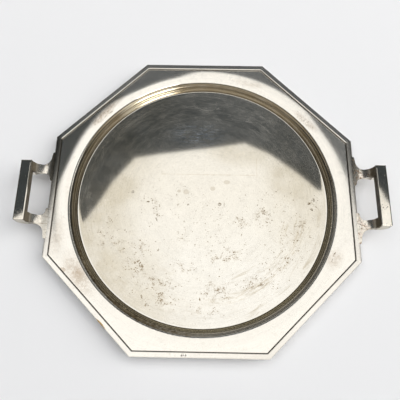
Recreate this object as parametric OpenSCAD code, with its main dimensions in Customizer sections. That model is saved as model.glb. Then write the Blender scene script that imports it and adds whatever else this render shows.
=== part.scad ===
// Octagonal serving tray with a round moulded well and two square-cut bar handles.
// Millimetres. The origin is the centre of the flat underside, +Z is up and +X runs from handle to handle.

/* [Rim] */
// Width across the flats of the octagon
across_flats = 380; // [376:1:400]
// Height of the border's top above the table
rim_h = 16; // [14:0.5:20]
// Width of the raised border moulding
border_w = 6.2; // [5:0.1:6.4]
// How far the border stands above the flange
border_rise = 2; // [1.2:0.1:2.4]
// Radius of the border's rounded outer edge
border_round = 1.9; // [1:0.1:2.4]
// How much of the border wraps outside the sheet's edge
border_lip = 1.2; // [0.6:0.1:2]

/* [Well] */
// Thickness of the pressed sheet
sheet_t = 1.4; // [1.1:0.1:1.6]
// Radius at which the flat flange starts to dish towards the well
flare_r = 183; // [180:0.5:183.4]
// Radius of the flange's gentle dish
flare_curve = 62; // [56:1:72]
// Slope of the flange where it meets the shoulder, in degrees
flare_angle = 13.5; // [10:0.5:14]
// Radius of the well's rounded shoulder
shoulder_curve = 3.2; // [2.6:0.1:3.6]
// Steepness of the well's wall, in degrees
wall_angle = 49.5; // [44:0.5:56]
// Radius of the fillet between the wall and the floor
toe_curve = 2.2; // [1.8:0.1:2.6]
// Height of the mouldings rolled into the wall
mould_h = 0.55; // [0.2:0.05:0.6]

/* [Handles] */
// Length of each grip bar
grip_len = 76.5; // [70:0.5:90]
// Width of each grip bar
grip_w = 12.7; // [11.5:0.1:15]
// Depth of each grip bar
grip_h = 10.4; // [9:0.1:11]
// Height of the grip bars' tops above the table
grip_top = 34.4; // [33:0.2:36]
// Clear distance from the tray's edge to the grip bar
grip_gap = 21.2; // [21:0.1:24]
// Width of the bevel round the top of each grip bar
bevel_w = 1.1; // [0.4:0.1:1.6]
// Drop of that bevel
bevel_h = 0.55; // [0.2:0.05:1]
// Narrowest width of each handle arm
arm_w = 10.9; // [9:0.1:12]
// Height of the arms' underside where they turn up to the bar
arm_low = 14; // [13.6:0.1:15]

/* [Hidden] */

ap = across_flats / 2;                       // apothem of the octagon
side = 2 * ap * tan(22.5);                   // length of one side
flange_z = rim_h - border_rise;              // top of the flat flange
sheet_ap = ap - border_lip;                  // apothem of the sheet under the border
grip_x = ap + grip_gap;                      // inner face of a grip bar
grip_x2 = grip_x + grip_w;                   // outer face of a grip bar
grip_z = grip_top - grip_h;                  // underside of a grip bar
hl = grip_len / 2;

// ---- section through the well, from the flat flange to the floor ----
// Each arc is tangent to the next, so only the straight part of the wall has a free length.
f_dr = flare_curve * sin(flare_angle);
f_dz = flare_curve * (1 - cos(flare_angle));
s_dr = shoulder_curve * (sin(wall_angle) - sin(flare_angle));
s_dz = shoulder_curve * (cos(flare_angle) - cos(wall_angle));
t_dr = toe_curve * sin(wall_angle);
t_dz = toe_curve * (1 - cos(wall_angle));
wall_len = (flange_z - sheet_t - f_dz - s_dz - t_dz) / sin(wall_angle);
floor_r = flare_r - f_dr - s_dr - t_dr - wall_len * cos(wall_angle);

// A point on the flange's dish, the shoulder, the wall or the toe, moved off the sheet by d
function flare_pt(a, d) = [flare_r - (flare_curve + d) * sin(a),
                           flange_z - flare_curve + (flare_curve + d) * cos(a)];
sh_c = [flare_r - f_dr + shoulder_curve * sin(flare_angle),
        flange_z - f_dz - shoulder_curve * cos(flare_angle)];
function shoulder_pt(a, d) = [sh_c[0] - (shoulder_curve + d) * sin(a),
                              sh_c[1] + (shoulder_curve + d) * cos(a)];
w_0 = shoulder_pt(wall_angle, 0);
function wall_pt(s, d) = [w_0[0] - s * wall_len * cos(wall_angle) - d * sin(wall_angle),
                          w_0[1] - s * wall_len * sin(wall_angle) + d * cos(wall_angle)];
toe_c = [floor_r, sheet_t + toe_curve];
function toe_pt(a, d) = [toe_c[0] + (toe_curve - d) * sin(a), toe_c[1] - (toe_curve - d) * cos(a)];

// The wall's mouldings: a quirk, a broad rounded band, a groove and a narrow bead
function bulge(s, a, b) = s <= a || s >= b ? 0 : sin(180 * (s - a) / (b - a));
function mould(s) = mould_h * (bulge(s, 0.12, 0.66) + 0.7 * bulge(s, 0.74, 0.97)
                    - 0.5 * bulge(s, 0.0, 0.12) - 0.5 * bulge(s, 0.66, 0.74));

top_line = concat([for (i = [0:6]) flare_pt(flare_angle * i / 6, 0)],
                  [for (i = [1:5]) shoulder_pt(flare_angle + (wall_angle - flare_angle) * i / 5, 0)],
                  [for (s = [0.06, 0.12, 0.2, 0.3, 0.39, 0.48, 0.58, 0.66, 0.7, 0.74, 0.79, 0.855, 0.92, 0.97]) wall_pt(s, mould(s))],
                  [for (i = [0:4]) toe_pt(wall_angle * (1 - i / 4), 0)],
                  [[0, sheet_t]]);
under_line = concat([[0, 0]],
                    [for (i = [0:5]) toe_pt(wall_angle * i / 5, -sheet_t)],
                    [for (i = [0:3]) shoulder_pt(wall_angle + (flare_angle - wall_angle) * i / 3, -sheet_t)],
                    [for (i = [1:6]) flare_pt(flare_angle * (1 - i / 6), -sheet_t)]);

// ---- tray pan: one pressed sheet ----
module tray_pan() {
    color([0.80, 0.79, 0.75]) {
        rotate_extrude($fn = 180) polygon(concat(top_line, under_line));
        difference() {
            translate([0, 0, flange_z - sheet_t]) linear_extrude(sheet_t)
                rotate(22.5) circle(r = sheet_ap / cos(22.5), $fn = 8);
            translate([0, 0, flange_z - sheet_t - 1]) cylinder(r = flare_r, h = sheet_t + 2, $fn = 180);
        }
    }
}

// ---- border: eight mitred lengths of one moulding ----
// Section of the moulding: x is the distance from the tray's centre, y is the height
border_section = concat(
    [[ap - border_w, flange_z], [ap - border_w, rim_h - 0.35], [ap - border_w + 0.35, rim_h]],
    [for (i = [0:5]) [ap - border_round + border_round * sin(90 * i / 5),
                      rim_h - border_round + border_round * cos(90 * i / 5)]],
    [[ap, flange_z - sheet_t], [sheet_ap, flange_z - sheet_t], [sheet_ap, flange_z]]);

// The moulding as one straight length along Y, on the +X side
module border_run(l) {
    translate([0, l / 2, 0]) rotate([90, 0, 0]) linear_extrude(l) polygon(border_section);
}

module border_strip(a) {
    k = tan(22.5);
    color([0.74, 0.73, 0.70]) rotate(a) intersection() {
        border_run(side + 20);
        translate([0, 0, flange_z - sheet_t - 1]) linear_extrude(rim_h - flange_z + sheet_t + 2)
            polygon([[ap - 20, -(ap - 20) * k], [ap + 5, -(ap + 5) * k],
                     [ap + 5, (ap + 5) * k], [ap - 20, (ap - 20) * k]]);
    }
}

// ---- handle arms: cast, with a flared foot on the border's outer edge ----
// All sizes of the arm follow from the bar's end, the arm's width and the tray's edge.
foot_out = hl + 18.5;                        // far end of the foot
foot_in = hl - arm_w - 9.2;                  // near end of the foot
waist_in = hl - arm_w;                       // the arm's edge on the finger side
foot_x = ap + 2.6;                           // where the fillets leave the foot
out_r = [11.8, 12.6];                        // half axes of the outer fillet
in_r = 6.6;                                  // radius of the fillet on the finger side

// Outline of the arm seen from above, for the handle on +X and the arm on +Y
arm_plan = concat(
    [[ap - 6, foot_out - 0.6], [ap + 0.6, foot_out - 0.2], [ap + 1.9, foot_out - 1.6]],
    [for (i = [0:12]) let (a = 180 + 90 * i / 12)
        [foot_x + out_r[0] * (1 + cos(a)), hl + 0.1 + out_r[1] * (1 + sin(a))]],
    [[grip_x - 3.4, hl - 0.25], [grip_x, hl], [grip_x2, hl]],
    [[grip_x2, hl - arm_w - 1.1], [grip_x, hl - arm_w - 1.1], [grip_x - 1.8, hl - arm_w - 0.7],
     [grip_x - 4.2, hl - arm_w]],
    [for (i = [0:9]) let (a = 90 + 90 * i / 9)
        [foot_x + in_r * (1 + cos(a)), waist_in - in_r + in_r * sin(a)]],
    [[ap + 1.9, foot_in + 0.9], [ap + 0.6, foot_in], [ap - 6, foot_in + 0.3]]);

// Side view of the arm: flat on the border, then a hollow sweep up to the bar,
// with a rounded heel that carries the bar from below
sweep_x = ap + 4;
sweep_r = grip_x - sweep_x;
heel_r = min(11, grip_z - arm_low + 0.9);
arm_side = concat(
    [[ap - 4, rim_h]],
    [for (i = [0:14]) let (a = 84 * i / 14)
        [sweep_x + sweep_r / sin(84) * sin(a), rim_h + sweep_r / sin(84) * (1 - cos(a))]],
    [[grip_x, grip_z], [grip_x2, grip_z]],
    [for (i = [0:10]) let (a = 90 * i / 10)
        [grip_x2 - heel_r + heel_r * cos(a), min(grip_z, arm_low + heel_r - heel_r * sin(a))]],
    [[ap + 12, arm_low - 0.3], [ap, flange_z - sheet_t], [ap - 4, flange_z - sheet_t]]);

module handle_arm(sx, sy) {
    color([0.76, 0.74, 0.70]) mirror([sx < 0 ? 1 : 0, 0, 0]) mirror([0, sy < 0 ? 1 : 0, 0])
        difference() {
            intersection() {
                translate([0, 0, flange_z - sheet_t - 2]) linear_extrude(grip_top) polygon(arm_plan);
                translate([0, foot_out + 10, 0]) rotate([90, 0, 0])
                    linear_extrude(foot_out + 10) polygon(arm_side);
            }
            border_run(side);
            translate([ap - 30, 0, 0]) cube([30 - border_round, foot_out + 10, grip_top]);
            translate([ap - 30, 0, 0]) cube([30, foot_out + 10, rim_h - border_round]);
        }
}

// ---- grip bars: square cut, with a bevel round the top ----
module grip_bar(sx) {
    color([0.66, 0.65, 0.62]) mirror([sx < 0 ? 1 : 0, 0, 0]) intersection() {
        translate([0, hl, 0]) rotate([90, 0, 0]) linear_extrude(grip_len)
            polygon([[grip_x, grip_z], [grip_x2 - 1.5, grip_z], [grip_x2, grip_z + 1.5],
                     [grip_x2, grip_top - bevel_h], [grip_x2 - bevel_w, grip_top],
                     [grip_x + bevel_w, grip_top], [grip_x, grip_top - bevel_h]]);
        translate([grip_x - 1, 0, 0]) rotate([90, 0, 90]) linear_extrude(grip_w + 2)
            polygon([[-hl, grip_z - 1], [hl, grip_z - 1], [hl, grip_top - bevel_h],
                     [hl - bevel_w, grip_top], [-hl + bevel_w, grip_top], [-hl, grip_top - bevel_h]]);
    }
}

tray_pan();
border_strip(0);  // border_right
border_strip(45);  // border_back_right
border_strip(90);  // border_back
border_strip(135);  // border_back_left
border_strip(180);  // border_left
border_strip(225);  // border_front_left
border_strip(270);  // border_front
border_strip(315);  // border_front_right
handle_arm(1, 1);  // arm_right_back
handle_arm(1, -1);  // arm_right_front
handle_arm(-1, 1);  // arm_left_back
handle_arm(-1, -1);  // arm_left_front
grip_bar(1);  // grip_right
grip_bar(-1);  // grip_left
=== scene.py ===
import math

import bmesh
import bpy
from mathutils import Matrix, Vector, noise


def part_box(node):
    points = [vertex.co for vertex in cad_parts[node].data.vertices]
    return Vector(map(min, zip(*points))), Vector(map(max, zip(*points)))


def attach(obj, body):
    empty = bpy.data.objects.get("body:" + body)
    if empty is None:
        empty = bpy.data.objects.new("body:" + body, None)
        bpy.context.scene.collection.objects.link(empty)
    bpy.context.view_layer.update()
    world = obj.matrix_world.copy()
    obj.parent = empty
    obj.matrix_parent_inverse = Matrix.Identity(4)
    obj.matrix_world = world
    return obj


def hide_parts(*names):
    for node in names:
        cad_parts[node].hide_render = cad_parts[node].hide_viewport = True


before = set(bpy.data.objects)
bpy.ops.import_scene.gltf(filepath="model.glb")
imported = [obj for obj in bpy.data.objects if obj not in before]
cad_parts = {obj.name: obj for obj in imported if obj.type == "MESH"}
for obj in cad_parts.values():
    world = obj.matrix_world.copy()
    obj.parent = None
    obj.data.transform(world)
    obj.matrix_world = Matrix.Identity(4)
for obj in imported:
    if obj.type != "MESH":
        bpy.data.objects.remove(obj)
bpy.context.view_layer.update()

BODY = "root"
MM = 0.001

# ---------------------------------------------------------------- sizes, in mm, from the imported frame
_lo, _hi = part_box("border_front")
AP = -_lo.y * 1000                      # apothem of the octagon
RIM = _hi.z * 1000                      # top of the border
LIP = _lo.z * 1000                      # underside of the border and of the flange
_glo, _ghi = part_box("grip_right")
GX0, GX1 = _glo.x * 1000, _ghi.x * 1000
GZ0, GZ1 = _glo.z * 1000, _ghi.z * 1000
HL = _ghi.y * 1000                      # half length of a grip bar
K = math.tan(math.pi / 8)
SHEET = 1.4
FLANGE = LIP + SHEET                    # top of the flat flange
BORDER_W = 6.2
SHEET_AP = AP - 1.2

# the well's section, as in part.scad
FLARE_R, FLARE_C, FLARE_A = 183.0, 62.0, math.radians(13.5)
SH_C, WALL_A, TOE_C, MOULD = 3.2, math.radians(49.5), 2.2, 0.55
f_dr, f_dz = FLARE_C * math.sin(FLARE_A), FLARE_C * (1 - math.cos(FLARE_A))
s_dr = SH_C * (math.sin(WALL_A) - math.sin(FLARE_A))
s_dz = SH_C * (math.cos(FLARE_A) - math.cos(WALL_A))
t_dr, t_dz = TOE_C * math.sin(WALL_A), TOE_C * (1 - math.cos(WALL_A))
WALL_L = (FLANGE - SHEET - f_dz - s_dz - t_dz) / math.sin(WALL_A)
FLOOR_R = FLARE_R - f_dr - s_dr - t_dr - WALL_L * math.cos(WALL_A)


def flare_pt(a, d):
    return (FLARE_R - (FLARE_C + d) * math.sin(a), FLANGE - FLARE_C + (FLARE_C + d) * math.cos(a))


_shc = (FLARE_R - f_dr + SH_C * math.sin(FLARE_A), FLANGE - f_dz - SH_C * math.cos(FLARE_A))


def shoulder_pt(a, d):
    return (_shc[0] - (SH_C + d) * math.sin(a), _shc[1] + (SH_C + d) * math.cos(a))


_w0 = shoulder_pt(WALL_A, 0)


def wall_pt(s, d):
    return (_w0[0] - s * WALL_L * math.cos(WALL_A) - d * math.sin(WALL_A),
            _w0[1] - s * WALL_L * math.sin(WALL_A) + d * math.cos(WALL_A))


def toe_pt(a, d):
    return (FLOOR_R + (TOE_C - d) * math.sin(a), SHEET + TOE_C - (TOE_C - d) * math.cos(a))


def bulge(s, a, b):
    return 0.0 if s <= a or s >= b else math.sin(math.pi * (s - a) / (b - a))


def mould(s):
    return MOULD * (bulge(s, 0.12, 0.66) + 0.7 * bulge(s, 0.74, 0.97)
                    - 0.5 * bulge(s, 0.0, 0.12) - 0.5 * bulge(s, 0.66, 0.74))


# ---------------------------------------------------------------- mesh helpers
def new_object(name, bm, smooth=True):
    mesh = bpy.data.meshes.new(name)
    bm.normal_update()
    bm.to_mesh(mesh)
    bm.free()
    if smooth:
        for p in mesh.polygons:
            p.use_smooth = True
    o = bpy.data.objects.new(name, mesh)
    bpy.context.scene.collection.objects.link(o)
    return o


def modify(o, name, kind, **values):
    m = o.modifiers.new(name, kind)
    for k, v in values.items():
        setattr(m, k, v)
    return m


def lerp(a, b, t):
    return a + (b - a) * t


def waver(x, y):
    """The slow unevenness of a pressed and much used sheet, in mm."""
    p = Vector((x / 95.0, y / 95.0, 3.7))
    q = Vector((x / 38.0, y / 38.0, 9.1))
    return 0.055 * noise.noise(p) + 0.008 * noise.noise(q)


# ---------------------------------------------------------------- the tray pan
def _sag_table():
    table, z, r = [(187.0, 0.0)], 0.0, 187.0
    while r > 172.0:
        t = (187.0 - r) / 15.0
        z += 0.25 * math.tan(math.radians(3.6)) * math.sin(math.pi * t) ** 0.8
        r -= 0.25
        table.append((r, z))
    return table


SAG = _sag_table()
SAG_END = SAG[-1][1]


DIP = [1.2, 0.58, 0.32, 1.45, 1.65, 1.65, 1.5, -0.25, -0.5, 0.55, -0.05, -0.35, 0.8, 1.0]     # every 15 degrees, then even


def dip(a):
    """How strongly the flange dips at an angle: a worn, hand-flattened rim is uneven along its back half."""
    d = math.degrees(a) % 360
    k, last = d / 15, len(DIP) - 1
    if d >= 345:
        i, j, f = last, 0, (d - 345) / 15
    else:
        i = min(int(k), last)
        j, f = min(i + 1, last), k - int(k)
    return lerp(DIP[i], DIP[j], f * f * (3 - 2 * f))


def oval(a):
    """How far inside its nominal circle the well's edge runs at an angle, in mm."""
    return 0.6 + 0.4 * math.sin(a + math.radians(20))


def shrink(r):
    return min(1.0, max(0.0, (r - 118) / 30)) * min(1.0, max(0.0, (184 - r) / 14))


def sag(r, x, y):
    """The flange dips a little sooner than the CAD's plain arc, unevenly; the wall takes it up."""
    more = dip(math.atan2(y, x))
    if r >= 187.0:
        return 0.0
    if r > 172.0:
        k = (187.0 - r) / 0.25
        i = min(len(SAG) - 2, int(k))
        return more * lerp(SAG[i][1], SAG[i + 1][1], k - i)
    if r > FLOOR_R + 2.0:
        return more * SAG_END * min(1.0, (r - FLOOR_R - 2.0) / (166.0 - FLOOR_R))
    return 0.0


def pan_mesh():
    n = 720
    cs = [(math.cos(2 * math.pi * i / n), math.sin(2 * math.pi * i / n)) for i in range(n)]
    # distance to a unit-apothem octagon along each direction
    octo = []
    for i in range(n):
        a = (2 * math.pi * i / n) % (math.pi / 4)
        a = a if a <= math.pi / 8 else math.pi / 4 - a
        octo.append(1 / math.cos(a))
    top = []
    for r in (1.5, 4, 8):
        top.append((r, SHEET))
    for i in range(1, 31):
        top.append((8 + (FLOOR_R - 8) * i / 30, SHEET))
    for i in range(1, 9):
        top.append(toe_pt(WALL_A * i / 8, 0))
    for i in range(1, 60):
        s = 1 - i / 60
        top.append(wall_pt(s, mould(s)))
    for i in range(0, 9):
        top.append(shoulder_pt(lerp(WALL_A, FLARE_A, i / 8), 0))
    for i in range(1, 13):
        top.append(flare_pt(FLARE_A * (1 - i / 16), 0))
    under = []
    for i in range(0, 9):
        under.append(flare_pt(FLARE_A * i / 8, -SHEET))
    for i in range(1, 7):
        under.append(shoulder_pt(lerp(FLARE_A, WALL_A, i / 6), -SHEET))
    for i in range(0, 9):
        under.append(toe_pt(WALL_A * (1 - i / 8), -SHEET))
    for r in (120, 80, 40, 8, 1.5):
        under.append((r, 0.0))

    bm = bmesh.new()

    def ring(fn):
        out = []
        for i, (c, s) in enumerate(cs):
            r, z = fn(i)
            x, y = r * c, r * s
            q = 1 - shrink(r) * oval(2 * math.pi * i / n) / r
            out.append(bm.verts.new((x * q * MM, y * q * MM, z(x, y) * MM)))
        return out

    def join(a, b):
        for i in range(n):
            j = (i + 1) % n
            bm.faces.new((a[i], b[i], b[j], a[j]))

    def dish(x, y):
        r = math.hypot(x, y)
        z = FLANGE if r >= FLARE_R else FLANGE - FLARE_C + math.sqrt(FLARE_C ** 2 - (FLARE_R - r) ** 2)
        return z - sag(r, x, y)

    rings = []
    centre = bm.verts.new((0, 0, (SHEET + waver(0, 0)) * MM))
    for r, z in top:
        fade = 1.0 if r < FLOOR_R - 12 else max(0.0, (FLOOR_R + 1 - r) / 13)
        if r > 168:
            fade = min(1.0, (r - 168) / 12)
        rings.append(ring(lambda i, r=r, z=z, f=fade: (r, lambda x, y: z - sag(r, x, y) + f * waver(x, y))))
    r_last = top[-1][0]
    # from the last circle out to the octagon that bounds the border's quirk
    a_in = AP - BORDER_W
    for k in range(1, 11):
        t = k / 10
        rings.append(ring(lambda i, t=t: (lerp(r_last, (a_in - 0.95) * octo[i], t),
                                          lambda x, y: dish(x, y) + waver(x, y))))
    # the quirk: a fine groove beside the border
    for a, dz in ((a_in - 0.8, -0.06), (a_in - 0.6, -0.3), (a_in - 0.35, -0.42), (a_in - 0.05, -0.45), (a_in + 0.4, -0.45), (SHEET_AP - 0.02, -0.3)):
        rings.append(ring(lambda i, a=a, dz=dz: (a * octo[i], lambda x, y: dish(x, y) + dz)))
    # edge and underside
    rings.append(ring(lambda i: (SHEET_AP * octo[i], lambda x, y: LIP + 0.5)))
    rings.append(ring(lambda i: (SHEET_AP * octo[i], lambda x, y: LIP)))
    for k in range(1, 9):
        t = k / 8
        rings.append(ring(lambda i, t=t: (lerp(SHEET_AP * octo[i], FLARE_R, t), lambda x, y: LIP)))
    for r, z in under[1:]:
        rings.append(ring(lambda i, r=r, z=z: (r, lambda x, y: z)))
    for i in range(n):
        bm.faces.new((centre, rings[0][i], rings[0][(i + 1) % n]))
    for a, b in zip(rings, rings[1:]):
        join(a, b)
    last = bm.verts.new((0, 0, 0))
    for i in range(n):
        bm.faces.new((last, rings[-1][(i + 1) % n], rings[-1][i]))
    bmesh.ops.recalc_face_normals(bm, faces=bm.faces)
    return bm


# ---------------------------------------------------------------- the border's moulding
def border_profile():
    """Outwards from the quirk: a rounded inner edge, a crowned band, and a small outer round."""
    a0 = AP - BORDER_W
    pts = [(a0 + 0.15, FLANGE - 0.42), (a0 + 0.02, FLANGE), (a0, FLANGE + 0.45), (a0, RIM - 1.12)]
    a, z, r = a0 + 0.03, RIM - 0.95, 0.95
    for k in range(0, 9):                       # slope falls from 62 to 7 degrees along the inner edge
        s = math.radians(lerp(62, 4, k / 8))
        if k:
            step = r * math.radians(58 / 8)
            a += step * math.cos(s + math.radians(3.4))
            z += step * math.sin(s + math.radians(3.4))
        pts.append((a, z))
    # crowned band up to the crest, then down to the outer edge
    n, slope0, slope1 = 14, math.radians(3.2), math.radians(-16)
    width = AP - 0.28 - a
    zs, aa = [z], [a]
    for k in range(1, n + 1):
        t = (k - 0.5) / n
        s = lerp(slope0, slope1, t ** 2.6)
        aa.append(a + width * k / n)
        zs.append(zs[-1] + width / n * math.tan(s))
    over = max(zs) - (RIM - 0.04)
    pts = [(p, q - over if q > FLANGE + 0.6 else q) for p, q in pts]
    zs = [q - over for q in zs]
    pts += list(zip(aa[1:], zs[1:]))
    z = zs[-1]
    pts += [(AP - 0.16, z - 0.08), (AP - 0.06, z - 0.22), (AP, z - 0.45)]
    pts += [(AP, LIP + 0.35), (AP - 0.1, LIP + 0.1), (AP - 0.35, LIP), (SHEET_AP + 0.1, LIP), (SHEET_AP, LIP + 0.1),
            (SHEET_AP, FLANGE - 0.45)]
    return pts


def border_mesh(angle, seed):
    prof = border_profile()
    n = 64
    bm = bmesh.new()
    rot = Matrix.Rotation(angle, 3, "Z")
    rows = []
    for k in range(n + 1):
        s = -1 + 2 * k / n
        row = []
        for a, z in prof:
            w = 0.0
            if z > RIM - 1.2:
                w = 0.035 * noise.noise(Vector((a / 9.0, s * 9.0 + seed * 7.3, seed)))
                w += 0.02 * noise.noise(Vector((a / 3.0, s * 40.0, seed * 3.1)))
            p = rot @ Vector((a, s * a * K, min(z + w * min(1.0, (1 - abs(s)) * 20), RIM)))
            row.append(bm.verts.new(p * MM))
        rows.append(row)
    m = len(prof)
    for r0, r1 in zip(rows, rows[1:]):
        for i in range(m):
            j = (i + 1) % m
            bm.faces.new((r0[i], r1[i], r1[j], r0[j]))
    bm.faces.new(rows[0])
    bm.faces.new(list(reversed(rows[-1])))
    bmesh.ops.recalc_face_normals(bm, faces=bm.faces)
    return bm


# ---------------------------------------------------------------- handle arms
ARM_W = 10.9
FOOT_OUT, FOOT_IN, WAIST = HL + 18.5, HL - ARM_W - 9.2, HL - ARM_W
FOOT_X, OUT_RX, OUT_RY, IN_R = AP + 2.6, 11.8, 12.6, 6.6
SWEEP_X = AP + 4
SWEEP_R = (GX0 - SWEEP_X) / math.sin(math.radians(84))
ARM_LOW = 14.0
HEEL = min(11.0, GZ0 - ARM_LOW + 0.9)


def interp(x, pts):
    if x <= pts[0][0]:
        return pts[0][1]
    for (x0, y0), (x1, y1) in zip(pts, pts[1:]):
        if x <= x1:
            return lerp(y0, y1, (x - x0) / (x1 - x0)) if x1 > x0 else y1
    return pts[-1][1]


_outer = [(AP - 2.2, FOOT_OUT - 0.7), (AP, FOOT_OUT - 0.45), (AP + 0.6, FOOT_OUT - 0.2), (AP + 1.5, FOOT_OUT - 0.7), (AP + 1.9, FOOT_OUT - 1.6)]
_outer += [(FOOT_X + OUT_RX * (1 + math.cos(math.radians(180 + 90 * i / 24))),
            HL + 0.1 + OUT_RY * (1 + math.sin(math.radians(180 + 90 * i / 24)))) for i in range(25)]
_outer += [(GX0 - 3.4, HL - 0.25), (GX0, HL - 0.02), (GX1, HL - 0.02)]
_inner = [(AP - 2.2, FOOT_IN + 0.4), (AP, FOOT_IN + 0.15), (AP + 0.6, FOOT_IN), (AP + 1.5, FOOT_IN + 0.35), (AP + 1.9, FOOT_IN + 0.9)]
_inner += [(FOOT_X + IN_R * (1 + math.cos(math.radians(180 - 90 * i / 18))),
            WAIST - IN_R + IN_R * math.sin(math.radians(180 - 90 * i / 18))) for i in range(19)]
_inner += [(GX0 - 4.2, WAIST), (GX0 - 1.8, WAIST - 0.6), (GX0, WAIST - 1.0), (GX1, WAIST - 1.0)]


def arm_mesh(sx, sy):
    """A solid swept from the foot on the border up to the bar, section by section."""
    tops, bots = [], []
    xs = [AP - 1.8, AP - 1.2, AP - 0.6, AP, AP + 0.6, AP + 1.1, AP + 1.5, AP + 1.9, FOOT_X, FOOT_X + 0.12, FOOT_X + 0.4,
          FOOT_X + 0.8]
    for x in xs:
        tops.append((x, RIM))
        if x < AP:      # the foot laps over the border's rounded edge
            bots.append((x, RIM - 1.9 + math.sqrt(max(0.0, 1.9 ** 2 - (x - AP + 1.9) ** 2)) - 0.25))
        else:
            bots.append((x, lerp(LIP, ARM_LOW - 0.3, (x - AP) / 12)))
    m = 34
    for i in range(1, m + 1):
        a = math.radians(84 * i / m)
        tops.append((SWEEP_X + SWEEP_R * math.sin(a), RIM + SWEEP_R * (1 - math.cos(a))))
    # the underside: out under the bar and round the heel, spaced by its own length
    path = [(FOOT_X + 0.8, lerp(LIP, ARM_LOW - 0.3, 3.4 / 12)), (AP + 12, ARM_LOW - 0.3), (GX1 - HEEL, ARM_LOW)]
    path += [(GX1 - HEEL + HEEL * math.sin(math.radians(90 * i / 16)), ARM_LOW + HEEL - HEEL * math.cos(math.radians(90 * i / 16)))
             for i in range(1, 17)]
    path = [(x, min(z, GZ0)) for x, z in path]
    path[-1] = (GX1 - 0.02, GZ0)
    lens = [0.0]
    for (x0, z0), (x1, z1) in zip(path, path[1:]):
        lens.append(lens[-1] + math.hypot(x1 - x0, z1 - z0))
    for i in range(1, m + 1):
        d = lens[-1] * (i / m)
        for k in range(1, len(path)):
            if d <= lens[k] + 1e-9:
                t = (d - lens[k - 1]) / max(1e-9, lens[k] - lens[k - 1])
                bots.append((lerp(path[k - 1][0], path[k][0], t), lerp(path[k - 1][1], path[k][1], t)))
                break
    bm = bmesh.new()
    ny = 10
    rows = []
    for (xt, zt), (xb, zb) in zip(tops, bots):
        row = []
        yo_t, yi_t = interp(xt, _outer), interp(xt, _inner)
        yo_b, yi_b = interp(xb, _outer), interp(xb, _inner)
        crown = 0.18 if xt > AP + 6 else 0.0
        for k in range(ny + 1):
            t = k / ny
            row.append((xt, lerp(yi_t, yo_t, t), zt - crown * (2 * t - 1) ** 2))
        for k in range(1, 4):
            row.append((lerp(xt, xb, k / 4), lerp(yo_t, yo_b, k / 4), lerp(zt, zb, k / 4)))
        for k in range(ny + 1):
            t = 1 - k / ny
            row.append((xb, lerp(yi_b, yo_b, t), zb))
        for k in range(1, 4):
            row.append((lerp(xb, xt, k / 4), lerp(yi_b, yi_t, k / 4), lerp(zb, zt, k / 4)))
        rows.append([bm.verts.new((sx * p[0] * MM, sy * p[1] * MM, p[2] * MM)) for p in row])
    m2 = len(rows[0])
    for r0, r1 in zip(rows, rows[1:]):
        for i in range(m2):
            j = (i + 1) % m2
            bm.faces.new((r0[i], r1[i], r1[j], r0[j]))
    bm.faces.new(rows[0])
    bm.faces.new(list(reversed(rows[-1])))
    bmesh.ops.recalc_face_normals(bm, faces=bm.faces)
    return bm


# ---------------------------------------------------------------- grip bars
def grip_mesh(sx):
    bw, bh = 1.1, 0.55
    prof = [(GX0, GZ0), (GX1 - 1.5, GZ0), (GX1, GZ0 + 1.5), (GX1, GZ1 - bh), (GX1 - bw, GZ1), (GX0 + bw, GZ1), (GX0, GZ1 - bh)]
    bm = bmesh.new()
    ys = [-HL, -HL + bw] + [lerp(-HL + bw, HL - bw, k / 24) for k in range(1, 24)] + [HL - bw, HL]
    rows = []
    for y in ys:
        row = []
        for x, z in prof:
            if abs(abs(y) - HL) < 1e-6:
                z = min(z, GZ1 - bh)
            wave = 0.0
            if z > GZ1 - 1e-6:
                wave = 0.03 * noise.noise(Vector((x / 6.0, y / 14.0, 5.0 + sx))) - 0.03
            row.append(bm.verts.new((sx * x * MM, y * MM, (z + wave) * MM)))
        rows.append(row)
    n = len(prof)
    for r0, r1 in zip(rows, rows[1:]):
        for i in range(n):
            j = (i + 1) % n
            bm.faces.new((r0[i], r1[i], r1[j], r0[j]))
    bm.faces.new(rows[0])
    bm.faces.new(list(reversed(rows[-1])))
    bmesh.ops.recalc_face_normals(bm, faces=bm.faces)
    return bm


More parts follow.
